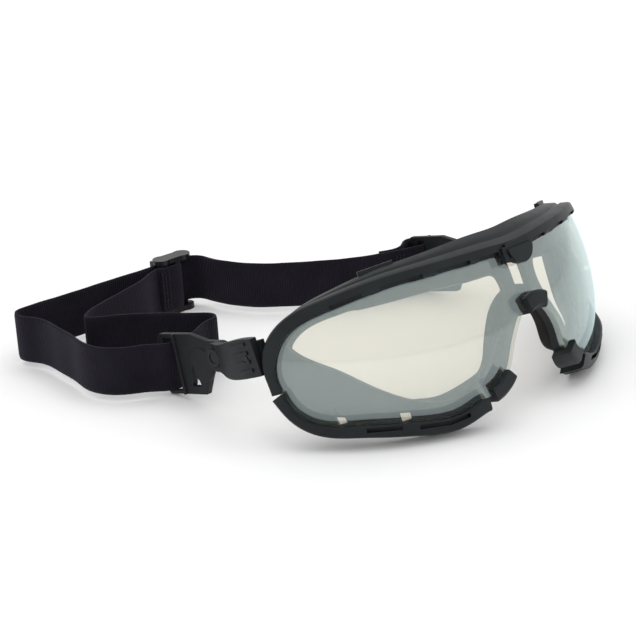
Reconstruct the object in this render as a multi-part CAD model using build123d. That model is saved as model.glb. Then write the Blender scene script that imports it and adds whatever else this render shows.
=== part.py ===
from build123d import *
import math
import os

# Safety goggles with one mirrored wrap-around lens, a black frame, a face seal and an
# elastic headband. All sizes are in millimetres.
#
# The goggles are drawn in their own upright frame: X to the wearer's left, Y from the lens
# towards the face, Z up, with the origin at the lens's front, on the centre line. They are
# then leaned back about X and set down on the table, where the headband also lies.

# ---- driving dimensions -------------------------------------------------------------
LEAN = 22.0                 # degrees that the goggles lean back as they lie on a table
CURVE_H = 88.0              # radius of the lens in plan, at its widest height
CURVE_V = 80.0              # radius of the lens in side view
CURVE_Z = 49.0              # height of the foremost line of the lens
LENS_T = 2.2                # thickness of the lens
GAP = 0.15                  # assembly gap between the lens's faces and what holds them
EDGE_GAP = 0.3              # gap between the lens's edge and the wall of the frame

FRAME_PROUD = 2.0           # how far the brow frame stands in front of the lens
RAIL_PROUD = 3.4            # the same for the lower rails
FRAME_DEPTH = 6.4           # how far the frame reaches behind the lens's front
LEDGE_DEPTH = 6.7           # the same for the ledge along the brow

CARRIER_T = 2.8             # thickness of the inner carrier frame
SEAL_GAP = 0.2              # gap between the carrier and the face seal
SEAL_BACK = 11.5            # depth of the seal behind the lens's front

ARM_T = 3.0                 # thickness of an arm
PIN_X = 71.9                # middle of an arm's end, from the centre line
PIN_Y = 104.2               # pivot pin of a strap clip, measured on the table
PIN_Z = 22.8
PIN_R = 1.6                 # radius of the pivot pin's shaft
PIN_PLAY = 0.05             # radial running clearance of the clip on its pin
PIN_HEAD_R = 3.3
LOCK_R = 1.2                # radius of the pin that locks an arm into the frame

CLIP_T = 2.2                # thickness of a clip's plate
CLIP_TILT = 12.0            # degrees that a clip slopes down towards the strap
CLIP_TOP = 7.8              # top and bottom edge of the clip, from the pin
CLIP_BOTTOM = -15.6
CLIP_END = 36.0             # far edge of the clip's outer bar, from the pin
SLOT_START = 26.5           # the slot that the strap passes through
SLOT_END = 32.5
SLOT_TOP = 6.2
SLOT_BOTTOM = -14.2

STRAP_W = 19.0              # elastic strap
STRAP_T = 1.3
STRAP_Z = 2.6               # lower edge of the strap above the table
SLOT_Y = 132.25             # where the strap crosses the slots of the clips

SLIDER_X = -7.0             # middle of the slider, and the direction of the strap there
SLIDER_Y = 204.6
SLIDER_TURN = -4.4
SLIDER_H = 24.0             # height of the slider, a little more than the strap
SLIDER_L = 17.0             # length of the slider along the strap
SLIDER_RAIL = 2.1           # thickness of the slider's top and bottom rail

# ---- outlines on the unrolled lens ---------------------------------------------------
# Each point is (distance from the centre line along the lens, height).
LENS_EDGE = [(0, 61.7), (26, 63.3), (55, 64.9), (76, 64.1), (89.5, 62), (98, 56.5),
             (101.5, 49), (101.8, 40.5), (100, 33.5), (96.2, 27.4), (89.4, 22.8),
             (70.7, 17.6), (53.5, 13.2), (45.5, 11.6), (37, 12), (28.5, 13.5),
             (20.5, 16.2), (15.8, 21), (12.9, 27.5), (9.3, 33.6), (4.5, 38.6), (0, 40)]
EYE_EDGE = [(9.5, 55.5), (9.5, 47), (13.5, 40), (19.5, 32), (23.5, 25), (28, 19.5),
            (36, 16.5), (45, 15.8), (53, 17), (68, 20.8), (80, 25), (89, 31.5),
            (94, 41), (94.3, 50), (90, 56.2), (80, 59.6), (60, 60.4), (35, 59.4),
            (15, 57.6)]
# Rims round the lens: (distance along the lens and height of the lens's edge, width of the
# lip over the lens, width of the wall outside it, rise of the ledge behind).
BROW_RIM = [(101.8, 39.4, 1.7, 2.4, 0), (101.5, 49, 2.1, 2.4, 0), (98, 56.5, 3.0, 2.4, 0),
            (89.5, 62, 2.7, 2.3, 0.3), (76, 64.1, 2.5, 2.2, 1.3), (55, 64.9, 2.4, 2.2, 2.6),
            (40, 64.2, 2.4, 2.2, 3.4), (26, 63.3, 2.4, 2.2, 4.4), (12, 62.4, 2.4, 2.2, 5.3),
            (0, 61.7, 2.4, 2.2, 5.6)]
LOWER_RIM = [(101.8, 38.6, 2.0, 2.4), (100, 33.5, 0.9, 2.6), (96.2, 27.4, 0.6, 3.0),
             (89.4, 22.8, 0.6, 3.4), (80, 20.0, 0.6, 3.8), (70.7, 17.6, 0.6, 4.2),
             (62, 15.3, 0.6, 4.4), (53.5, 13.2, 0.6, 4.6), (45.5, 11.6, 0.6, 4.6),
             (37, 12, 0.6, 4.6), (28.4, 13.5, 0.6, 4.4)]
HOOK_RIM = [(25.6, 14.2), (20.5, 16.2), (17.2, 19.4)]
NOSE_RIM = [(4.4, 38.7), (0, 40), (-4.4, 38.7)]
# Vents: (start and end along the lens, height of the middle, slope in degrees).
BROW_VENTS = [(9, 17.5, 60.7, 3), (21.5, 34.5, 61.7, 3), (40, 55.5, 62.9, 2),
              (62, 74, 62.9, -3)]
RAIL_VENTS = [(37.5, 45.5, 10.6, -2), (46.2, 57, 11.7, 12), (63.5, 76, 16.3, 14)]
TONGUE = 6.2                # half width of the tongue over the middle of the lens
TONGUE_Z = 60.8             # height of the middle of its rounded end


# ---- geometry helpers ----------------------------------------------------------------
def box(x0, x1, y0, y1, z0, z1):
    """Box between two corners."""
    size = Box(x1 - x0, y1 - y0, z1 - z0)
    return Pos((x0 + x1) / 2, (y0 + y1) / 2, (z0 + z1) / 2) * size


def pin(x0, x1, radius):
    """Round bar along X about the origin."""
    return Pos((x0 + x1) / 2, 0, 0) * Rot(0, 90, 0) * Cylinder(radius, x1 - x0)


def mirrored(points):
    """Closed outline from its right half, which starts and ends on the centre line."""
    return points + [(-s, z) for s, z in reversed(points[1:-1])]


def mirror_x(part):
    """Copy of a part on the other side of the centre line."""
    return mirror(part, about=Plane.YZ)


def both_sides(part):
    """A part together with its mirror image."""
    return part + mirror_x(part)


def shell(outer, inner):
    """The lens's toric surface as a shell between two offsets from its front face."""
    ring = CURVE_H - CURVE_V
    section = Circle(CURVE_V + outer) - Circle(CURVE_V + inner)
    section = Pos(ring, CURVE_Z) * section
    section = section & Pos(100, 35) * Rectangle(198, 100)
    turned = revolve(Plane.XZ * section, Axis.Z, 360)
    return Pos(0, CURVE_H, 0) * turned


def converging(points):
    """Solid whose walls run from an outline on the lens straight towards the lens's axis."""
    steps = [0]
    for i, (s, z) in enumerate(points):
        s1, z1 = points[(i + 1) % len(points)]
        steps.append(steps[-1] + math.hypot(s1 - s, z1 - z))
    steps = [step / steps[-1] for step in steps]
    faces = []
    for y in (-12.0, 0.97 * CURVE_H):
        reach = CURVE_H - y
        flat = [(reach * math.tan(s / CURVE_H), 0, z) for s, z in points]
        edge = Edge.make_spline(flat, periodic=True, parameters=steps)
        faces.append(Pos(0, y, 0) * make_face(edge))
    return loft(faces, ruled=True)


def grown_lens(distance):
    """Converging solid of the lens's outline, moved outwards by a distance."""
    points = mirrored(LENS_EDGE)
    moved = []
    for i, (s, z) in enumerate(points):
        s0, z0 = points[i - 1]
        s1, z1 = points[(i + 1) % len(points)]
        length = math.hypot(s1 - s0, z1 - z0)
        moved.append((s - distance * (z1 - z0) / length, z + distance * (s1 - s0) / length))
    return converging(moved)


def lens_reach(z):
    """Distance of the lens's front face from its upright axis at a height."""
    return CURVE_H - CURVE_V + math.sqrt(CURVE_V ** 2 - (z - CURVE_Z) ** 2)


def block(s0, s1, z0, z1, front, back, slope=0):
    """Box turned to face along the lens's normal, between two offsets from its front face."""
    reach = lens_reach((z0 + z1) / 2)
    turn = math.degrees((s0 + s1) / 2 / CURVE_H)
    brick = Rot(0, -slope, 0) * Box(s1 - s0, front - back, z1 - z0)
    brick = Pos(0, -reach - (front + back) / 2, (z0 + z1) / 2) * brick
    return Pos(0, CURVE_H, 0) * Rot(0, 0, turn) * brick


def seat():
    """Space that the rims leave for the edges of the lens and of the carrier."""
    return shell(GAP, -FRAME_DEPTH - 1) & grown_lens(EDGE_GAP)


def rim(spots, shapes):
    """Moulding round the lens: cross-sections of (outward, rearward) points, one per spot."""
    sections = []
    for i, (s, z) in enumerate(spots):
        s0, z0 = spots[max(i - 1, 0)]
        s1, z1 = spots[min(i + 1, len(spots) - 1)]
        length = math.hypot(s1 - s0, z1 - z0)
        ds, dz = (z0 - z1) / length, (s1 - s0) / length
        turn = s / CURVE_H
        reach = lens_reach(z)
        slope = (CURVE_Z - z) / math.sqrt(CURVE_V ** 2 - (z - CURVE_Z) ** 2) * dz
        radial = Vector(math.sin(turn), -math.cos(turn), 0)
        sideways = Vector(math.cos(turn), math.sin(turn), 0)
        outward = sideways * (ds * reach / CURVE_H) + radial * slope + Vector(0, 0, dz)
        start = Vector(0, CURVE_H, z) + radial * reach
        corners = [start + outward * u - radial * d for u, d in shapes[i]]
        sections.append(make_face(Polyline(*corners, close=True)))
    return loft(sections)


def lip_section(lip, wall, proud, depth):
    """L-shaped cross-section: a lip over the lens's front and a wall outside its edge."""
    return [(-lip, -GAP), (-lip, 0.8 - proud), (0.8 - lip, -proud), (wall - 0.8, -proud),
            (wall, 0.8 - proud), (wall, depth), (EDGE_GAP, depth), (EDGE_GAP, -GAP)]


# ---- goggles, in their own frame ------------------------------------------------------
def make_lens():
    return shell(0, -LENS_T) & grown_lens(0)


def make_brow_frame():
    """Brow rail and both sides of the frame in one moulding, with vents and a tongue."""
    spots = BROW_RIM + [(-row[0],) + row[1:] for row in reversed(BROW_RIM[:-1])]
    shapes = []
    inside = EDGE_GAP + 0.15
    for _, _, lip, wall, rise in spots:
        groove = 0.3 + 0.12 * rise
        shapes.append([(-lip, -GAP - 0.05), (-lip, -1.2), (0.7 - lip, -FRAME_PROUD),
                       (wall - 0.6, -FRAME_PROUD), (wall, -1.3), (wall + 0.3 * rise, 1.2),
                       (wall - groove + 0.4 * rise, 1.7), (wall - groove + 0.5 * rise, 2.6),
                       (wall + 0.6 * rise, 3.1), (wall + rise, FRAME_DEPTH),
                       (wall + rise - 1.8, FRAME_DEPTH), (inside, 3.6), (inside, -GAP - 0.05)])
    frame = rim([(-s, z) for s, z, *_ in spots], shapes)
    frame += both_sides(box(78.4, 80.6, 53.0, 63.0, 49.5, 59.5))
    tongue = block(-TONGUE, TONGUE, TONGUE_Z, 63, FRAME_PROUD + 0.8, -0.5)
    tip = Pos(0, 0, TONGUE_Z) * Rot(90, 0, 0) * Cylinder(TONGUE, 2 * (FRAME_PROUD + 0.8))
    tongue += tip & box(-TONGUE, TONGUE, -9, 9, TONGUE_Z - TONGUE, TONGUE_Z + 0.1)
    tongue += block(-8.0, -6.0, 56.6, 62, FRAME_PROUD + 0.8, -0.5)
    frame += tongue - shell(GAP, -20)
    vents = []
    for s0, s1, z, slope in BROW_VENTS:
        vent = block(s0, s1, z - 0.7, z + 0.7, FRAME_PROUD + 2, GAP + 0.3, slope)
        vents += [vent, mirror_x(vent)]
    return frame - vents


def make_lower_rail(side):
    """Rail under one lobe of the lens, with vent slots against the lens's edge."""
    shapes = [lip_section(lip, wall, RAIL_PROUD, FRAME_DEPTH) for _, _, lip, wall in LOWER_RIM]
    piece = rim([(s, z) for s, z, _, _ in LOWER_RIM], shapes) - seat()
    for s0, s1, z, slope in RAIL_VENTS:
        piece -= block(s0, s1, z - 0.75, z + 0.75, RAIL_PROUD + 2, RAIL_PROUD - 2.6, slope)
    return piece if side > 0 else mirror_x(piece)


def make_nose_clip():
    """Block that grips the lens over the nose."""
    return rim(NOSE_RIM, [lip_section(4.0, 2.0, RAIL_PROUD, 5.0)] * len(NOSE_RIM))


def carrier_ring(outer, inner, edge):
    """Ring that follows the lens's outline, open at both eyes and over the nose."""
    eye = converging(EYE_EDGE)
    ring = edge - [eye, mirror_x(eye), box(-3.5, 3.5, -20, 90, 43, 57)]
    return shell(outer, inner) & ring


def make_ear(grow):
    """Ear of the carrier that stands up behind the brow frame."""
    base = block(47 - grow, 60 + grow, 59.5 - grow, 63, -4.6, -9.6 - grow)
    tab = block(47 - grow, 60 + grow, 60.5 - grow, 70.8, -7.8 + grow, -9.6 - grow)
    return base + tab


def make_carrier():
    """Inner frame behind the lens, with hooks round the lens's lower nose corners."""
    front = -LENS_T - GAP
    back = front - CARRIER_T
    carrier = carrier_ring(front, back, grown_lens(0.1))
    shape = lip_section(2.6, 3.0, RAIL_PROUD, -back)[:6]
    shape += [(-0.6, -back), (-0.6, 0.1 - front), (EDGE_GAP, 0.1 - front), (EDGE_GAP, -GAP)]
    hook = rim(HOOK_RIM, [shape] * len(HOOK_RIM))
    carrier += both_sides(hook)
    carrier += both_sides(make_ear(0))
    notches = both_sides(block(59, 62.5, 16, 20.6, 0, -9) + block(83, 86.5, 22, 28.5, 0, -9))
    return carrier - notches


def make_face_seal():
    """Soft ring between the carrier and the wearer's face."""
    front = -LENS_T - GAP - CARRIER_T - SEAL_GAP
    seal = carrier_ring(front, -SEAL_BACK, grown_lens(0.1))
    return seal - both_sides(make_ear(SEAL_GAP))


def goggle_yz(y, z):
    """Table position turned into the goggles' own frame, without the lift."""
    c, s = math.cos(math.radians(LEAN)), math.sin(math.radians(LEAN))
    return y * c - z * s, y * s + z * c


def band(points, thickness):
    """Flat band of constant thickness along a smooth plan path."""
    path = Spline(*points)
    count = 10 * len(points)
    left, right = [], []
    for i in range(count + 1):
        spot = path @ (i / count)
        along = path % (i / count)
        across = Vector(-along.Y, along.X, 0) * (thickness / 2)
        left.append(spot + across)
        right.append(spot - across)
    ends = [Line(left[-1], right[-1]), Line(right[0], left[0])]
    return make_face([Spline(*left), ends[0], Spline(*reversed(right)), ends[1]])


def make_arm(side, lift):
    """Side arm with grip ribs at its root and an eye for the clip's pivot pin."""
    pin_y, pin_z = goggle_yz(PIN_Y, PIN_Z - lift)
    plan = [(81.9, 54.5), (81.7, 62), (79.6, 73), (75.2, 82.5), (72.3, 88.5),
            (PIN_X, 92.0), (PIN_X, 97.0)]
    lower = Spline((54, 47.3), (66, 47.6), (78, 48.6), (pin_y, pin_z - 5.4))
    tip = ThreePointArc((pin_y, pin_z - 5.4), (pin_y + 5.4, pin_z), (pin_y, pin_z + 5.4))
    upper = Spline((pin_y, pin_z + 5.4), (78, 61.4), (66, 61.8), (54, 60.8))
    profile = make_face([lower, tip, upper, Line((54, 60.8), (54, 47.3))])
    profile = extrude(Plane.YZ * profile, 120)
    arm = extrude(band(plan, ARM_T), 90) & profile
    ribs = [box(70, 90, 58, 66.5, z, z + 1.3) for z in (49.4, 52.6, 55.8, 59.0)]
    raised = extrude(band(plan, ARM_T + 1.0), 90) & profile
    arm += raised & (ribs[0] + ribs[1:])
    at_pin = Pos(PIN_X, pin_y, pin_z)
    seat = at_pin * pin(ARM_T / 2, 9, PIN_HEAD_R + 0.5)
    arm -= [at_pin * pin(-9, 9, PIN_R), seat, Pos(0, 60, 54.5) * pin(70, 90, LOCK_R)]
    return arm if side > 0 else mirror_x(arm)


def make_arm_lock_pin(side):
    """Pin that locks the root of an arm to the lug of the brow frame."""
    lock = Pos(0, 60, 54.5) * pin(78.2, 83.6, LOCK_R)
    return lock if side > 0 else mirror_x(lock)


# ---- headband, on the table -----------------------------------------------------------
def on_pin(part):
    """Place a part drawn round the pivot pin, sloping down towards the strap."""
    return Pos(0, PIN_Y, PIN_Z) * Rot(-CLIP_TILT, 0, 0) * part


def clip_faces():
    """Inner and outer face of the clip's plate, just inside the arm's end."""
    outer = PIN_X - ARM_T / 2 - 0.3
    return outer - CLIP_T, outer


def make_clip(side):
    """Strap clip: a flared plate with a tall slot and a bar for the strap."""
    x0, x1 = clip_faces()
    neck = 5.2
    lug = ThreePointArc((0, -neck), (-neck, 0), (0, neck))
    rim = Polyline((0, neck), (7, neck), (16.5, CLIP_TOP), (CLIP_END - 2, CLIP_TOP),
                   (CLIP_END, CLIP_TOP - 2), (CLIP_END, CLIP_BOTTOM + 1.4),
                   (CLIP_END - 1.4, CLIP_BOTTOM), (13.5, CLIP_BOTTOM), (7, -neck), (0, -neck))
    plate = Pos(x0, 0, 0) * extrude(Plane.YZ * make_face([lug, rim]), CLIP_T)
    ridge = box(x1 - 0.5, x1 + 0.8, SLOT_START - 1.7, SLOT_START - 0.2, CLIP_BOTTOM, CLIP_TOP)
    boss = Pos(0, 12.6, -4) * pin(x1 - 1, x1 + 0.5, 6.6)
    window = Polyline((18.0, -4.5), (20.5, -12.5), (15.5, -12.5), close=True)
    window = Pos(x0 - 1, 0, 0) * extrude(Plane.YZ * make_face(window), 2 * CLIP_T)
    slot = box(x0 - 1, x1 + 1, SLOT_START, SLOT_END, SLOT_BOTTOM, SLOT_TOP)
    clip = plate + ridge + boss
    clip = on_pin(clip - [window, slot, pin(0, 100, PIN_R + PIN_PLAY)])
    return clip if side > 0 else mirror_x(clip)


def make_clip_pin(side):
    """Pivot pin with a flat head outside the arm and a spread end inside the clip."""
    x0, _ = clip_faces()
    outside = PIN_X + ARM_T / 2
    shaft = pin(x0 - 0.2, outside, PIN_R)
    head = pin(outside, outside + 0.8, PIN_HEAD_R) - pin(outside + 0.5, outside + 2, 2.2)
    spread = pin(x0 - 0.9, x0 - 0.1, 2.6)
    rivet = on_pin(shaft + head + spread)
    return rivet if side > 0 else mirror_x(rivet)


def slider_point(along, towards_face):
    """Plan position measured from the slider's middle, along and across the strap."""
    a = math.radians(SLIDER_TURN)
    x = SLIDER_X + along * math.cos(a) + towards_face * math.sin(a)
    y = SLIDER_Y + along * math.sin(a) - towards_face * math.cos(a)
    return x, y


def strap(points):
    """Strap standing on its edge along a plan path."""
    return Pos(0, 0, STRAP_Z) * extrude(band(points, STRAP_T), STRAP_W)


def make_strap_band():
    """Outer stretch of the strap: right clip, rear fold, slider, left clip's sewn loop."""
    fold = [(-66.6, SLOT_Y), (-71.2, 132.6), (-77, 137.8), (-84, 142.8), (-89.5, 150.5),
            (-90, 160.5), (-87.2, 170.5), (-85.3, 180.3), (-83.5, 189), (-83.8, 198),
            (-85.6, 204), (-83.6, 209.4), (-77, 210.6)]
    straight = [slider_point(s, -0.45) for s in (-58, -44, -30, -16, -5, 2, 8)]
    rear = [(4.6, 201.0), (5.2, 195), (6.2, 186), (11.3, 172.5), (18.5, 163.5), (35.1, 147.5),
            (50, 138.6), (60.5, 134.2), (66, 132.4), (70.6, 132.3), (73.4, 135.0),
            (73.8, 138.5), (72.2, 141.6), (69, 142.4), (65.5, 141.0), (61.5, 138.6),
            (56.5, 138.4), (51, 141.0)]
    return strap(fold + straight + rear)


def make_strap_loop():
    """Inner stretch of the strap: from its sewn end on the slider to the right clip."""
    path = [slider_point(-9.5, 4.95), slider_point(-5, 5.1), slider_point(-1, 5.1),
            slider_point(1.7, 3.3), slider_point(-1, 1.5), slider_point(-5, 2.7),
            slider_point(-9.5, 3.45), (-28, 197.2), (-38.7, 193.6), (-50, 190.8),
            (-59.1, 188.3), (-68, 184.5), (-71, 181.5), (-69, 178), (-62, 172.5),
            (-56.4, 166.4), (-48.5, 156.5), (-41.8, 147.2), (-39.6, 143), (-41, 139.8),
            (-46, 138.6), (-56, 134.6), (-62, 132.6), (-66.2, SLOT_Y)]
    return strap(path)


def stitch_rows(x, y, turn, rows, reach):
    """Bar-tack thread on one face of a sewn double layer: a few upright rows."""
    bars = []
    for row in range(rows):
        bar = Pos((row - (rows - 1) / 2) * 1.6, -reach, 0) * Box(0.6, 0.3, STRAP_W - 4)
        bars.append(Pos(x, y, STRAP_Z + STRAP_W / 2) * Rot(0, 0, turn) * bar)
    return Compound(children=bars)


def make_slider():
    """Three-bar slider: outer bars behind the strap, centre bar before it, lobed rails."""
    half_h = SLIDER_H / 2
    slider = Pos(0, -3.3, 0) * Cylinder(1.0, SLIDER_H - SLIDER_RAIL)
    for s in (-7.0, 7.0):
        slider += Pos(s, 2.5, 0) * Box(2.4, 1.7, SLIDER_H - SLIDER_RAIL)
    for top in (1, -1):
        level = Pos(0, -0.6, top * (half_h - SLIDER_RAIL / 2))
        slider += level * Box(SLIDER_L - 4, 6.4, SLIDER_RAIL)
        for s in (-5.0, 5.0):
            slider += level * Pos(s, 0, 0) * Cylinder(3.7, SLIDER_RAIL)
    return Pos(SLIDER_X, SLIDER_Y, half_h) * Rot(0, 0, SLIDER_TURN) * slider


# ---- assembly ---------------------------------------------------------------------------
def main():
    goggles = {
        "lens": make_lens(),
        "brow_frame": make_brow_frame(),
        "lower_rail_right": make_lower_rail(-1),
        "lower_rail_left": make_lower_rail(1),
        "nose_clip": make_nose_clip(),
        "carrier_frame": make_carrier(),
        "face_seal": make_face_seal(),
        "arm_lock_pin_right": make_arm_lock_pin(-1),
        "arm_lock_pin_left": make_arm_lock_pin(1),
    }
    goggles["brow_frame"] -= [goggles["arm_lock_pin_right"], goggles["arm_lock_pin_left"]]
    lean = Rot(-LEAN, 0, 0)
    lift = -min((lean * part).bounding_box().min.Z for part in goggles.values())
    goggles["arm_right"] = make_arm(-1, lift)
    goggles["arm_left"] = make_arm(1, lift)
    for name in ("brow_frame", "carrier_frame", "face_seal"):
        goggles[name] -= [goggles["arm_right"], goggles["arm_left"]]
    nodes = {name: Pos(0, 0, lift) * lean * part for name, part in goggles.items()}
    tack_x, tack_y = slider_point(-7.2, 4.9)
    nodes.update({
        "clip_right": make_clip(-1),
        "clip_left": make_clip(1),
        "clip_pin_right": make_clip_pin(-1),
        "clip_pin_left": make_clip_pin(1),
        "strap_band": make_strap_band(),
        "strap_loop": make_strap_loop(),
        "strap_stitching": stitch_rows(57.2, 135.55, -19, 3, STRAP_T / 2 + 0.5),
        "slider": make_slider(),
        "slider_stitching": stitch_rows(tack_x, tack_y, SLIDER_TURN, 3, STRAP_T / 2 + 0.5),
    })
    boxes = [part.bounding_box() for part in nodes.values()]
    shift_x = -(min(b.min.X for b in boxes) + max(b.max.X for b in boxes)) / 2
    shift_y = -(min(b.min.Y for b in boxes) + max(b.max.Y for b in boxes)) / 2
    os.makedirs("parts", exist_ok=True)
    for name, part in nodes.items():
        export_step(Pos(shift_x, shift_y, 0) * part, f"parts/{name}.step")
    print("lift", round(lift, 3), "shift", round(shift_x, 3), round(shift_y, 3))


main()
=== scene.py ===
import bpy
import math
import numpy as np
from mathutils import Matrix, Vector


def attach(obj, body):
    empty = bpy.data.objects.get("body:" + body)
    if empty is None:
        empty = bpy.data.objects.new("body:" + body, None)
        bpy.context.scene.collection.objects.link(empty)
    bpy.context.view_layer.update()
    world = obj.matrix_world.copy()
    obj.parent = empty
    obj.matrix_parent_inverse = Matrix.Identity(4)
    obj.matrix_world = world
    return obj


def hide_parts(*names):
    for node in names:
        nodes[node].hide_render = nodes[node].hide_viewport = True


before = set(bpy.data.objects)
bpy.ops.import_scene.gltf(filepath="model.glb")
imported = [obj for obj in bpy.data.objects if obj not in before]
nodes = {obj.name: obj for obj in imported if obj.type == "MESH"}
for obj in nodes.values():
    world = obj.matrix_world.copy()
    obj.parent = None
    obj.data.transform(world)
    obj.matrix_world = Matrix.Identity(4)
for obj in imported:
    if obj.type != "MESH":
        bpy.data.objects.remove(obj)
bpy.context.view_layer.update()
MM = 0.001

# ---- placing -------------------------------------------------------------------------
# Plan positions below are in millimetres in the same frame as the strap's route in CAD;
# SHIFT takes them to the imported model's origin.
SHIFT = Vector((3.573, -110.962, 0.0))
STRAP_W = 19.0
STRAP_T = 1.3
STRAP_Z = 2.6
SLIDER = Vector((-7.0, 204.6, 0.0))
SLIDER_TURN = math.radians(-4.4)


def slider_point(along, towards_face):
    x = SLIDER.x + along * math.cos(SLIDER_TURN) + towards_face * math.sin(SLIDER_TURN)
    y = SLIDER.y + along * math.sin(SLIDER_TURN) - towards_face * math.cos(SLIDER_TURN)
    return x, y


BAND_ROUTE = [(-66.6, 132.25), (-71.2, 132.6), (-77, 137.8), (-84, 142.8), (-89.5, 150.5),
              (-90, 160.5), (-87.2, 170.5), (-85.3, 180.3), (-83.5, 189), (-83.8, 198),
              (-85.6, 204), (-83.6, 209.4), (-77, 210.6)]
BAND_ROUTE += [slider_point(s, -0.45) for s in (-58, -44, -30, -16, -5, 2, 8)]
BAND_ROUTE += [(4.6, 201.0), (5.2, 195), (6.2, 186), (11.3, 172.5), (18.5, 163.5),
               (35.1, 147.5), (50, 138.6), (60.5, 134.2), (66, 132.4), (70.6, 132.3),
               (73.4, 135.0), (73.8, 138.5), (72.2, 141.6), (69, 142.4), (65.5, 141.0),
               (61.5, 138.6), (56.5, 138.4), (51, 141.0)]
LOOP_ROUTE = [slider_point(-9.5, 4.95), slider_point(-5, 5.1), slider_point(-1, 5.1),
              slider_point(1.7, 3.3), slider_point(-1, 1.5), slider_point(-5, 2.7),
              slider_point(-9.5, 3.45), (-28, 197.2), (-38.7, 193.6), (-50, 190.8),
              (-59.1, 188.3), (-68, 184.5), (-71, 181.5), (-69, 178), (-62, 172.5),
              (-56.4, 166.4), (-48.5, 156.5), (-41.8, 147.2), (-39.6, 143),
              (-41, 139.8), (-46, 138.6), (-56, 134.6), (-62, 132.6), (-66.2, 132.25)]


FINE = 60                   # samples of the curve between two of its points


def smooth_route(points, step):
    """Even samples (mm) along a cubic curve through plan points, with their arc lengths."""
    pts = np.array(points, float)
    t = np.concatenate([[0], np.cumsum(np.hypot(*np.diff(pts, axis=0).T))])
    n = len(t)
    h = np.diff(t)
    a = np.zeros((n, n))
    b = np.zeros((n, 2))
    a[0, 0] = a[-1, -1] = 1
    for i in range(1, n - 1):
        a[i, i - 1:i + 2] = h[i - 1], 2 * (h[i - 1] + h[i]), h[i]
        b[i] = 6 * ((pts[i + 1] - pts[i]) / h[i] - (pts[i] - pts[i - 1]) / h[i - 1])
    m = np.linalg.solve(a, b)
    fine = []
    for i in range(n - 1):
        for u in np.linspace(0, h[i], FINE, endpoint=i == n - 2):
            w = h[i] - u
            fine.append(m[i] * w ** 3 / (6 * h[i]) + m[i + 1] * u ** 3 / (6 * h[i])
                        + (pts[i] / h[i] - m[i] * h[i] / 6) * w
                        + (pts[i + 1] / h[i] - m[i + 1] * h[i] / 6) * u)
    fine = np.array(fine)
    run = np.concatenate([[0], np.cumsum(np.hypot(*np.diff(fine, axis=0).T))])
    s = np.linspace(0, run[-1], int(run[-1] / step) + 1)
    return np.stack([np.interp(s, run, fine[:, 0]), np.interp(s, run, fine[:, 1])], 1), s


# ---- materials ---------------------------------------------------------------------------
def new_material(name):
    mat = bpy.data.materials.new(name)
    mat.use_nodes = True
    tree = mat.node_tree
    tree.nodes.clear()
    out = tree.nodes.new("ShaderNodeOutputMaterial")
    return mat, tree, out


def coordinates(tree):
    return tree.nodes.new("ShaderNodeTexCoord").outputs["Object"]


def noise(tree, vector, scale, detail=4.0, rough=0.55):
    node = tree.nodes.new("ShaderNodeTexNoise")
    node.inputs["Scale"].default_value = scale
    node.inputs["Detail"].default_value = detail
    node.inputs["Roughness"].default_value = rough
    tree.links.new(vector, node.inputs["Vector"])
    return node.outputs["Fac"]


def ramp(tree, fac, low, high, start=0.0, end=1.0):
    node = tree.nodes.new("ShaderNodeValToRGB")
    node.color_ramp.elements[0].position = start
    node.color_ramp.elements[0].color = (*low, 1)
    node.color_ramp.elements[1].position = end
    node.color_ramp.elements[1].color = (*high, 1)
    tree.links.new(fac, node.inputs["Fac"])
    return node.outputs["Color"]


def span(tree, fac, low, high):
    node = tree.nodes.new("ShaderNodeMapRange")
    node.inputs["To Min"].default_value = low
    node.inputs["To Max"].default_value = high
    tree.links.new(fac, node.inputs["Value"])
    return node.outputs["Result"]


def bump(tree, height, strength, distance, normal=None):
    node = tree.nodes.new("ShaderNodeBump")
    node.inputs["Strength"].default_value = strength
    node.inputs["Distance"].default_value = distance
    tree.links.new(height, node.inputs["Height"])
    if normal is not None:
        tree.links.new(normal, node.inputs["Normal"])
    return node.outputs["Normal"]


def moulded(name, dark, light, rough_low, rough_high, grain=2600.0, depth=0.00003,
            specular=0.5):
    """Moulded plastic or rubber: fine spark-eroded grain, soft flow marks, rubbed patches."""
    mat, tree, out = new_material(name)
    shader = tree.nodes.new("ShaderNodeBsdfPrincipled")
    where = coordinates(tree)
    flow = noise(tree, where, 55.0, 3.0)
    fine = noise(tree, where, grain, 2.0)
    wear = noise(tree, where, 210.0, 5.0, 0.65)
    tree.links.new(ramp(tree, flow, dark, light, 0.3, 0.72), shader.inputs["Base Color"])
    tree.links.new(span(tree, wear, rough_low, rough_high), shader.inputs["Roughness"])
    shader.inputs["Specular IOR Level"].default_value = specular
    normal = bump(tree, fine, 0.35, depth)
    normal = bump(tree, flow, 0.25, 0.0004, normal)
    tree.links.new(normal, shader.inputs["Normal"])
    tree.links.new(shader.outputs["BSDF"], out.inputs["Surface"])
    return mat


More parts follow.
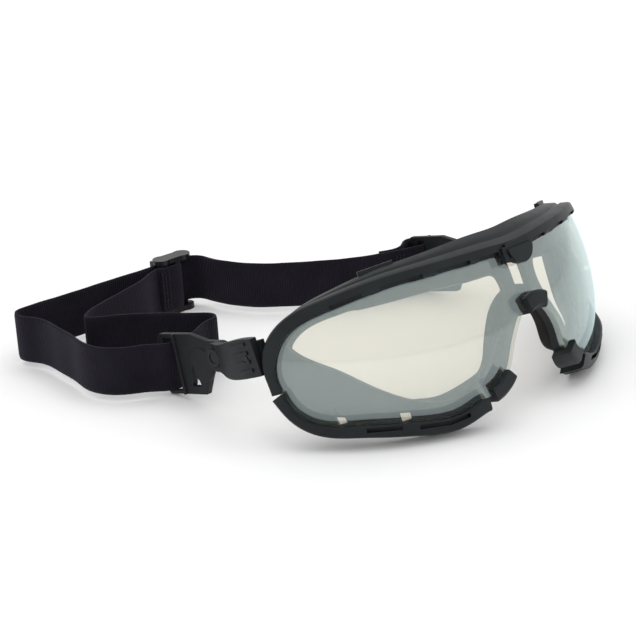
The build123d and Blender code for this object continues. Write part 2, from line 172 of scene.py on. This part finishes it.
def mirrored_lens():
    """Tinted clear polycarbonate with a light blue-silver mirror coating on its faces."""
    mat, tree, out = new_material("mirror_lens")
    where = coordinates(tree)
    clear = tree.nodes.new("ShaderNodeBsdfTransparent")
    clear.inputs["Color"].default_value = (0.93, 0.885, 0.815, 1)
    coat = tree.nodes.new("ShaderNodeBsdfGlossy")
    coat.inputs["Color"].default_value = (0.80, 0.97, 1.0, 1)
    smear = noise(tree, where, 38.0, 4.0, 0.6)
    tree.links.new(span(tree, smear, 0.015, 0.075), coat.inputs["Roughness"])
    film = noise(tree, where, 16.0, 2.0)
    tree.links.new(bump(tree, film, 0.12, 0.0006), coat.inputs["Normal"])
    haze = tree.nodes.new("ShaderNodeBsdfDiffuse")
    haze.inputs["Color"].default_value = (0.72, 0.72, 0.70, 1)
    body = tree.nodes.new("ShaderNodeMixShader")
    body.inputs["Fac"].default_value = 0.03
    tree.links.new(clear.outputs["BSDF"], body.inputs[1])
    tree.links.new(haze.outputs["BSDF"], body.inputs[2])
    # Schlick's curve from the facing angle, the same on both faces of the thin lens.
    grazing = tree.nodes.new("ShaderNodeLayerWeight")
    grazing.inputs["Blend"].default_value = 0.5
    steep = tree.nodes.new("ShaderNodeMath")
    steep.operation = "POWER"
    steep.inputs[1].default_value = 4.0
    tree.links.new(grazing.outputs["Facing"], steep.inputs[0])
    mix = tree.nodes.new("ShaderNodeMixShader")
    tree.links.new(span(tree, steep.outputs["Value"], 0.17, 1.0), mix.inputs["Fac"])
    tree.links.new(body.outputs["Shader"], mix.inputs[1])
    tree.links.new(coat.outputs["BSDF"], mix.inputs[2])
    tree.links.new(mix.outputs["Shader"], out.inputs["Surface"])
    return mat


def wave(tree, vector, scale, direction, distortion, detail_scale):
    node = tree.nodes.new("ShaderNodeTexWave")
    node.wave_type = "BANDS"
    node.bands_direction = direction
    node.wave_profile = "SIN"
    node.inputs["Scale"].default_value = scale
    node.inputs["Distortion"].default_value = distortion
    node.inputs["Detail"].default_value = 2.0
    node.inputs["Detail Scale"].default_value = detail_scale
    tree.links.new(vector, node.inputs["Vector"])
    return node.outputs["Fac"]


def elastic(name):
    """Woven elastic: upright ribs over the rubber threads, crossed by fine yarns; the base colour is
    darkened in the grooves between the ribs as painted shade.
    """
    mat, tree, out = new_material(name)
    shader = tree.nodes.new("ShaderNodeBsdfPrincipled")
    cloth = tree.nodes.new("ShaderNodeUVMap")
    cloth.uv_map = "weave"
    where = cloth.outputs["UV"]
    ribs = wave(tree, where, 330.0, "X", 0.7, 2.0)
    yarns = wave(tree, where, 520.0, "Y", 1.4, 3.0)
    fuzz = noise(tree, coordinates(tree), 5200.0, 3.0, 0.7)
    patches = noise(tree, coordinates(tree), 70.0, 4.0)
    # Base colour: random darker and lighter patches, multiplied by stripes on the rib wave that
    # darken the grooves between ribs (painted shade).
    tone_and_rib_shade = tree.nodes.new("ShaderNodeMix")
    tone_and_rib_shade.data_type = "RGBA"
    tone_and_rib_shade.blend_type = "MULTIPLY"
    tone_and_rib_shade.inputs["Factor"].default_value = 0.75
    tree.links.new(ramp(tree, patches, (0.0065, 0.0055, 0.0095), (0.0135, 0.0115, 0.0185), 0.3, 0.75),
                   tone_and_rib_shade.inputs["A"])
    tree.links.new(ramp(tree, ribs, (0.45, 0.45, 0.45), (1.0, 1.0, 1.0)), tone_and_rib_shade.inputs["B"])
    tree.links.new(tone_and_rib_shade.outputs["Result"], shader.inputs["Base Color"])
    shader.inputs["Roughness"].default_value = 0.88
    shader.inputs["Specular IOR Level"].default_value = 0.12
    shader.inputs["Sheen Weight"].default_value = 0.10
    shader.inputs["Sheen Roughness"].default_value = 0.55
    shader.inputs["Sheen Tint"].default_value = (0.42, 0.40, 0.52, 1)
    normal = bump(tree, ribs, 0.8, 0.00016)
    normal = bump(tree, yarns, 0.45, 0.00007, normal)
    normal = bump(tree, fuzz, 0.4, 0.00006, normal)
    tree.links.new(normal, shader.inputs["Normal"])
    tree.links.new(shader.outputs["BSDF"], out.inputs["Surface"])
    return mat


def thread_material():
    mat, tree, out = new_material("thread_black")
    shader = tree.nodes.new("ShaderNodeBsdfPrincipled")
    twist = wave(tree, coordinates(tree), 900.0, "DIAGONAL", 0.5, 2.0)
    # The twist wave also darkens the base colour in the twist grooves between the raised strands, as
    # painted shade.
    tree.links.new(ramp(tree, twist, (0.006, 0.0055, 0.009), (0.022, 0.020, 0.028)),
                   shader.inputs["Base Color"])
    shader.inputs["Roughness"].default_value = 0.6
    tree.links.new(bump(tree, twist, 0.6, 0.0001), shader.inputs["Normal"])
    tree.links.new(shader.outputs["BSDF"], out.inputs["Surface"])
    return mat


black = moulded("frame_black", (0.0045, 0.0065, 0.0075), (0.009, 0.0125, 0.014), 0.34, 0.52,
                specular=0.24)
arm_black = moulded("arm_black", (0.0045, 0.005, 0.0065), (0.009, 0.010, 0.0125), 0.40, 0.58,
                    specular=0.22)
carrier_black = moulded("carrier_black", (0.006, 0.008, 0.009), (0.012, 0.015, 0.017),
                        0.38, 0.55, specular=0.24)
rubber = moulded("seal_rubber", (0.010, 0.009, 0.009), (0.020, 0.018, 0.017), 0.62, 0.82,
                 1500.0, 0.00006, 0.2)
gloss = moulded("slider_black", (0.004, 0.004, 0.005), (0.008, 0.008, 0.010), 0.22, 0.36,
                specular=0.3)
LOOKS = {"lens": mirrored_lens(), "carrier_frame": carrier_black,
         "slider": gloss, "clip_right": arm_black, "clip_left": arm_black,
         "arm_right": arm_black, "arm_left": arm_black}
for name, obj in nodes.items():
    obj.data.materials.clear()
    obj.data.materials.append(LOOKS.get(name, black))
    if name in ("lens", "face_seal") or name.startswith("strap") or name.endswith("stitching"):
        continue
    weld = obj.modifiers.new("weld", "WELD")
    weld.merge_threshold = 0.00001
    bevel = obj.modifiers.new("edges", "BEVEL")
    bevel.width = 0.28 * MM
    bevel.segments = 2
    bevel.limit_method = "ANGLE"
    bevel.angle_limit = math.radians(38)
    bevel.harden_normals = False
    tidy = obj.modifiers.new("normals", "WEIGHTED_NORMAL")
    tidy.keep_sharp = True


# ---- elastic strap -----------------------------------------------------------------------
RIB_PITCH, RIB_HEIGHT = 0.95, 0.055
SELVEDGE = 0.45             # where the strap's faces start to round off, in strap widths


def make_strap(name, route, replaced, seed):
    """Elastic strap standing on edge: ribbed faces, rounded selvedges, slightly uneven."""
    path, run = smooth_route(route, 0.24)
    rng = np.random.default_rng(seed)
    phases = rng.uniform(0, 2 * math.pi, 4)
    tangent = np.gradient(path, axis=0)
    tangent /= np.linalg.norm(tangent, axis=1)[:, None]
    normal = np.stack([-tangent[:, 1], tangent[:, 0]], 1)
    faces_v = np.linspace(-0.5, 0.5, 15)
    verts, uvs = [], []
    for i in range(len(path)):
        rib = RIB_HEIGHT * math.cos(2 * math.pi * run[i] / RIB_PITCH)
        wavy = 0.09 * math.sin(run[i] / 5.3 + phases[0]) + 0.06 * math.sin(run[i] / 2.1 + phases[1])
        loop = []
        for v in faces_v:
            edge = max(0.0, abs(v) - SELVEDGE) / (0.5 - SELVEDGE)
            rounding = math.sqrt(max(0.0, 1 - 0.55 * edge ** 2))
            half = (STRAP_T / 2 - 0.06 + rib * (1 - edge)) * rounding
            loop.append((half, v))
        ring = loop + [(-half, v) for half, v in reversed(loop)]
        for off, v in ring:
            p = path[i] + normal[i] * off
            z = STRAP_Z + STRAP_W / 2 + v * (STRAP_W - 0.2 + wavy)
            verts.append(((p[0] + SHIFT.x) * MM, (p[1] + SHIFT.y) * MM, z * MM))
            uvs.append((run[i] * MM, v * STRAP_W * MM))
    n = 2 * len(faces_v)
    faces = []
    for i in range(len(path) - 1):
        for k in range(n):
            a = i * n + k
            b = i * n + (k + 1) % n
            faces.append((a, b, b + n, a + n))
    faces.append(tuple(range(n))[::-1])
    faces.append(tuple(range((len(path) - 1) * n, len(path) * n)))
    mesh = bpy.data.meshes.new(name)
    mesh.from_pydata(verts, [], faces)
    layer = mesh.uv_layers.new(name="weave")
    for polygon in mesh.polygons:
        polygon.use_smooth = True
        for corner in polygon.loop_indices:
            layer.data[corner].uv = uvs[mesh.loops[corner].vertex_index]
    mesh.update()
    obj = bpy.data.objects.new(name, mesh)
    bpy.context.scene.collection.objects.link(obj)
    mesh.materials.append(cloth)
    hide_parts(replaced)
    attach(obj, "headband")
    return obj


cloth = elastic("strap_elastic")
make_strap("elastic_band", BAND_ROUTE, "strap_band", 3)
make_strap("elastic_loop", LOOP_ROUTE, "strap_loop", 4)


THREAD_BASE, THREAD_TIP = 0.17, 0.13
STITCH_LEAN, STITCH_RISE, ROW_GAP = 0.28, 0.42, 1.6
TACK_ROWS, ROW_STITCHES, SIDES = 3, 17, 6


def make_stitches(name, x, y, turn, reach, replaced, body):
    """Bar-tack rows: short slanting stitches laid close together, up the strap's face."""
    verts, faces = [], []
    along = Vector((math.cos(turn), math.sin(turn), 0))
    out = Vector((math.sin(turn), -math.cos(turn), 0))
    centre = Vector((x, y, 0)) + SHIFT
    for row in range(TACK_ROWS):
        for k in range(ROW_STITCHES):
            z = STRAP_Z + 2.2 + k * (STRAP_W - 4.4) / (ROW_STITCHES - 1)
            lean = STITCH_LEAN if k % 2 else -STITCH_LEAN
            base = centre + along * ((row - 1) * ROW_GAP) + out * reach
            for end in (-1, 1):
                for corner in range(SIDES):
                    angle = corner * math.pi / 3
                    swell = THREAD_BASE if end < 0 else THREAD_TIP
                    p = (base + along * (end * lean + swell * math.cos(angle))
                         + out * (swell * math.sin(angle)))
                    verts.append((p.x * MM, p.y * MM, (z + end * STITCH_RISE) * MM))
            first = len(verts) - 2 * SIDES
            top = first + SIDES
            for corner in range(SIDES):
                nxt = (corner + 1) % SIDES
                faces.append((first + corner, first + nxt, top + nxt, top + corner))
            faces.append(tuple(first + i for i in reversed(range(SIDES))))
            faces.append(tuple(top + i for i in range(SIDES)))
    mesh = bpy.data.meshes.new(name)
    mesh.from_pydata(verts, [], faces)
    for polygon in mesh.polygons:
        polygon.use_smooth = True
    obj = bpy.data.objects.new(name, mesh)
    bpy.context.scene.collection.objects.link(obj)
    mesh.materials.append(thread)
    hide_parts(replaced)
    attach(obj, body)


thread = thread_material()
make_stitches("loop_tack", 57.2, 135.55, math.radians(-19), STRAP_T / 2 + 0.35,
              "strap_stitching", "headband")
tack = slider_point(-7.2, 4.9)
make_stitches("slider_tack", tack[0], tack[1], SLIDER_TURN, STRAP_T / 2 + 0.35,
              "slider_stitching", "slider")

# ---- face seal -----------------------------------------------------------------------------
# The seal is drawn on the unrolled lens, as part.py draws the goggles: distance from the
# centre line along the lens, height, and depth behind the lens's front face.
LEAN = math.radians(22.0)
GOGGLE_LIFT = 3.781
CURVE_H, CURVE_V, CURVE_Z = 88.0, 80.0, 49.0
RIGHT_EDGE = [(0, 61.7), (26, 63.3), (55, 64.9), (76, 64.1), (89.5, 62), (98, 56.5),
              (101.5, 49), (101.8, 40.5), (100, 33.5), (96.2, 27.4), (89.4, 22.8),
              (70.7, 17.6), (53.5, 13.2), (45.5, 11.6), (37, 12), (28.5, 13.5),
              (20.5, 16.2), (15.8, 21), (12.9, 27.5), (9.3, 33.6), (4.5, 38.6), (0, 40)]
SEAL_FRONT, SEAL_BACK, EAR_BACK = 5.6, 11.3, 10.0
EAR_MIDDLE = 53.5           # where an ear of the carrier stands, along the lens
SEAL_W = 3.6                # width of the seal, and how much wider it is at the nose
NOSE_EXTRA = 3.6
SEAL_SIDES = 28
LOOP_STEP = 0.1


def on_goggles(s, z, depth):
    """World position (m) of a point on the unrolled lens, some depth behind its front."""
    drop = math.sqrt(CURVE_V ** 2 - (z - CURVE_Z) ** 2)
    shrink = (CURVE_V - depth) / CURVE_V
    reach = CURVE_H - CURVE_V + drop * shrink
    x = math.sin(s / CURVE_H) * reach
    y = CURVE_H - math.cos(s / CURVE_H) * reach
    z = CURVE_Z + (z - CURVE_Z) * shrink
    spot = Vector((x, y * math.cos(LEAN) + z * math.sin(LEAN),
                   z * math.cos(LEAN) - y * math.sin(LEAN) + GOGGLE_LIFT))
    return (spot + SHIFT) * MM


def closed_samples(points, step):
    """Even samples round a smooth closed curve."""
    wrap = 4
    route = points[-wrap:] + points + points[:wrap + 1]
    path, _ = smooth_route(route, LOOP_STEP)
    start = min(range(len(path) // 3), key=lambda i: math.dist(path[i], points[0]))
    end = min(range(2 * len(path) // 3, len(path)), key=lambda i: math.dist(path[i], points[0]))
    loop = path[start:end]
    return loop[::round(step / LOOP_STEP)]


def make_face_seal():
    """Moulded soft seal: a rounded lip round both eyes, deeper set behind the frame's ears."""
    edge = RIGHT_EDGE + [(-s, z) for s, z in reversed(RIGHT_EDGE[1:-1])]
    path = closed_samples(edge, 0.9)
    ahead = np.roll(path, -3, axis=0) - np.roll(path, 3, axis=0)
    ahead /= np.linalg.norm(ahead, axis=1)[:, None]
    verts, faces = [], []
    ring = SEAL_SIDES
    for (s, z), (ts, tz) in zip(path, ahead):
        nose = max(0.0, 1 - max(0.0, abs(s) - 8.0) / 14.0) if z < 44 else 0.0
        width = SEAL_W + NOSE_EXTRA * nose
        near_ear = min(1.0, max(0.0, 2.5 - abs(abs(s) - EAR_MIDDLE) / 5.2)) if z > 55 else 0.0
        front = SEAL_FRONT + near_ear * (EAR_BACK - SEAL_FRONT)
        for k in range(ring):
            angle = 2 * math.pi * k / ring
            c, d = math.cos(angle), math.sin(angle)
            across = math.copysign(abs(c) ** 0.62, c)
            deep = math.copysign(abs(d) ** 0.62, d)
            dimple = 0.28 * math.exp(-((across / 0.3) ** 2)) if d > 0 else 0.0
            inward = 0.5 + width * (0.5 + 0.5 * across)
            depth = front + (SEAL_BACK - front) * (0.5 + 0.5 * deep) - dimple
            verts.append(on_goggles(s + tz * inward, z - ts * inward, depth))
    count = len(path)
    for i in range(count):
        for k in range(ring):
            a, b = i * ring + k, i * ring + (k + 1) % ring
            c, d = (i + 1) % count * ring + (k + 1) % ring, (i + 1) % count * ring + k
            faces.append((a, b, c, d))
    mesh = bpy.data.meshes.new("soft_seal")
    mesh.from_pydata(verts, [], faces)
    for polygon in mesh.polygons:
        polygon.use_smooth = True
    mesh.materials.append(rubber)
    obj = bpy.data.objects.new("soft_seal", mesh)
    bpy.context.scene.collection.objects.link(obj)
    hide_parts("face_seal")
    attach(obj, "goggles")


make_face_seal()

# ---- floor, light and camera ----------------------------------------------------------------
scene = bpy.context.scene
floor_mesh = bpy.data.meshes.new("floor")
side = 6.0
floor_mesh.from_pydata([(-side, -side, 0), (side, -side, 0), (side, side, 0), (-side, side, 0)],
                       [], [(0, 1, 2, 3)])
floor = bpy.data.objects.new("floor", floor_mesh)
scene.collection.objects.link(floor)
floor_mat, tree, out = new_material("pale_floor")
paint = tree.nodes.new("ShaderNodeBsdfDiffuse")
paint.inputs["Color"].default_value = (0.86, 0.86, 0.86, 1)
tree.links.new(paint.outputs["BSDF"], out.inputs["Surface"])
floor_mesh.materials.append(floor_mat)


def area_light(name, place, aim, size, power):
    data = bpy.data.lights.new(name, "AREA")
    data.shape = "RECTANGLE"
    data.size, data.size_y = size
    data.energy = power
    lamp = bpy.data.objects.new(name, data)
    lamp.location = place
    lamp.rotation_euler = (Vector(aim) - Vector(place)).to_track_quat("-Z", "Y").to_euler()
    lamp.visible_glossy = False
    scene.collection.objects.link(lamp)


area_light("top", (0.1, 0.0, 1.3), (0, 0, 0), (1.6, 1.2), 6)
area_light("front_left", (-1.3, -0.7, 0.75), (0, 0, 0.03), (0.9, 0.9), 3)
area_light("front_right", (0.75, -1.3, 0.6), (0, 0, 0.03), (0.7, 0.9), 2)
world = bpy.data.worlds.new("studio")
world.use_nodes = True
world.node_tree.nodes["Background"].inputs["Color"].default_value = (1, 1, 1, 1)
world.node_tree.nodes["Background"].inputs["Strength"].default_value = 0.95
scene.world = world
scene.view_settings.view_transform = "Standard"

AIM = Vector((0, 20, 39.2))
SIDESTEP, DISTANCE, FOCAL_LENGTH = 72.9, 790.4, 125.9
azimuth, elevation, roll = math.radians(-43.4), math.radians(20.0), math.radians(4.0)
back = Vector((math.sin(azimuth) * math.cos(elevation),
               -math.cos(azimuth) * math.cos(elevation), math.sin(elevation)))
right = Vector((math.cos(azimuth), math.sin(azimuth), 0))
up = back.cross(right)
place = AIM + SHIFT - right * SIDESTEP + back * DISTANCE
rx = right * math.cos(roll) - up * math.sin(roll)
ry = right * math.sin(roll) + up * math.cos(roll)
cam_data = bpy.data.cameras.new("camera")
cam_data.sensor_width = 36
cam_data.lens = FOCAL_LENGTH
camera = bpy.data.objects.new("camera", cam_data)
camera.matrix_world = Matrix(((rx.x, ry.x, back.x, place.x * MM),
                              (rx.y, ry.y, back.y, place.y * MM),
                              (rx.z, ry.z, back.z, place.z * MM),
                              (0, 0, 0, 1)))
scene.collection.objects.link(camera)
scene.camera = camera

# ---- scene update --------------------------------------------------------------------------
bpy.context.view_layer.update()
